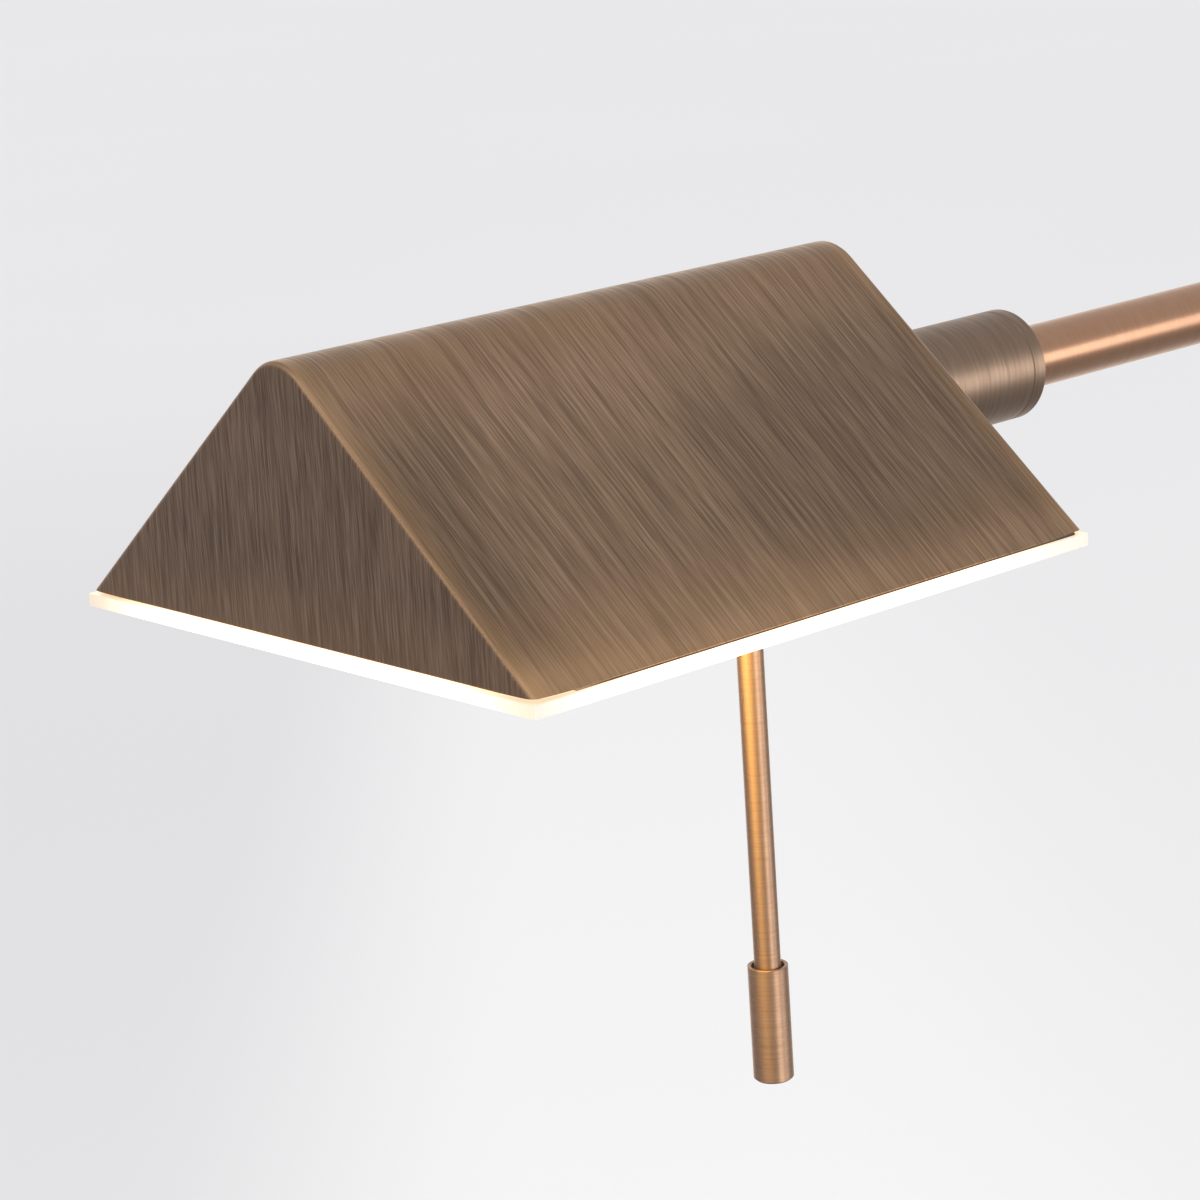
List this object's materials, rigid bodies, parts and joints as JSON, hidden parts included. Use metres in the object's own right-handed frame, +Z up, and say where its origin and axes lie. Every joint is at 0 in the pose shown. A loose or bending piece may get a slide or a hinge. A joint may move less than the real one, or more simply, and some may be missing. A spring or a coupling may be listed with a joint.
{
  "type": "picture light",
  "caption": "Wall picture light: a brushed bronze head shaped like a low roof over a flat glowing diffuser, with a rod handle below, on a straight swinging arm and a round canopy.",
  "frame": {"origin": "centre of the two wall screws, on the wall plane", "axes": "+Z up, +Y into the wall; the light stands out along -Y and +X is to its right as seen from the room"},
  "size_m": [0.1178, 0.3895, 0.1545],
  "materials": {
    "bronze_brushed": "antique bronze, brushed in straight lines down the slopes, lacquered",
    "bronze_spun": "antique bronze, brushed in rings, lacquered",
    "bronze_turned": "antique bronze, turned with fine rings, lacquered",
    "bronze_drawn": "antique bronze, drawn tube and rod, smooth satin",
    "bronze_screw": "antique bronze, small screw heads",
    "opal_acrylic": "opal acrylic, satin, lit from behind in warm white",
    "black_rubber": "matt black rubber",
    "aluminium_plate": "mill-finish aluminium sheet",
    "plain_brass": "plain machined brass",
    "zinc_steel": "bright zinc-plated steel",
    "spring_steel": "dark oiled spring steel",
    "board_white": "white solder mask",
    "led_phosphor": "yellow phosphor over the chip, lit",
    "white_plastic": "moulded white plastic, fine texture",
    "bearing_plastic": "natural acetal",
    "lead_jacket": "pale flexible lead jacket"
  },
  "bodies": {
    "wall_mount": {"bridge_bracket": "zinc_steel", "bridge_rivets": "zinc_steel", "canopy": "bronze_spun", "canopy_screws": "bronze_screw", "canopy_skirt": "bronze_spun", "entry_grommet": "black_rubber", "led_driver": "white_plastic", "lower_cap": "bronze_turned", "lower_knuckle": "bronze_turned", "plate_rim": "zinc_steel", "post_nut": "zinc_steel", "post_rosette": "bronze_turned", "supply_wires": "lead_jacket", "swivel_bush": "bearing_plastic", "swivel_washer": "bearing_plastic", "terminal_block": "white_plastic", "wall_lead": "lead_jacket", "wall_plate": "zinc_steel", "wall_post": "bronze_drawn"},
    "arm": {"arm_tube": "bronze_drawn", "upper_knuckle": "bronze_turned", "upper_cap": "bronze_turned", "swivel_nipple": "zinc_steel", "swivel_nut": "zinc_steel", "nut_washer": "zinc_steel", "swing_stop_pin": "zinc_steel", "roll_flange": "zinc_steel", "roll_stop_screw": "zinc_steel", "disc_springs": "spring_steel", "arm_lead": "lead_jacket"},
    "head": {"shade_shell": "bronze_brushed", "rear_stiffener": "plain_brass", "diffuser": "opal_acrylic", "diffuser_gasket": "black_rubber", "led_carrier": "aluminium_plate", "carrier_blocks": "plain_brass", "carrier_screws": "zinc_steel", "led_boards": "board_white", "led_chips": "led_phosphor", "lead_connector": "white_plastic", "board_wires": "lead_jacket", "handle_rod": "bronze_drawn", "handle_nut": "zinc_steel", "handle_ferrule": "bronze_turned", "handle_grip": "bronze_turned", "collar": "bronze_turned", "collar_end_ring": "bronze_turned", "roll_bush": "bearing_plastic", "roll_thrust_washer": "bearing_plastic", "roll_friction_washer": "bearing_plastic", "collar_stud": "zinc_steel", "collar_nut": "zinc_steel", "head_lead": "lead_jacket"}
  },
  "joints": [
    {"name": "arm_swing", "type": "hinge", "parent": "wall_mount", "child": "arm", "pos_m": [0, -0.066, 0.012], "axis": [0, 0, 1], "range_deg": [-90, 90]},
    {"name": "head_roll", "type": "hinge", "parent": "arm", "child": "head", "pos_m": [0, -0.2426, 0.024], "axis": [0, 1, 0], "range_deg": [-90, 90]}
  ]
}
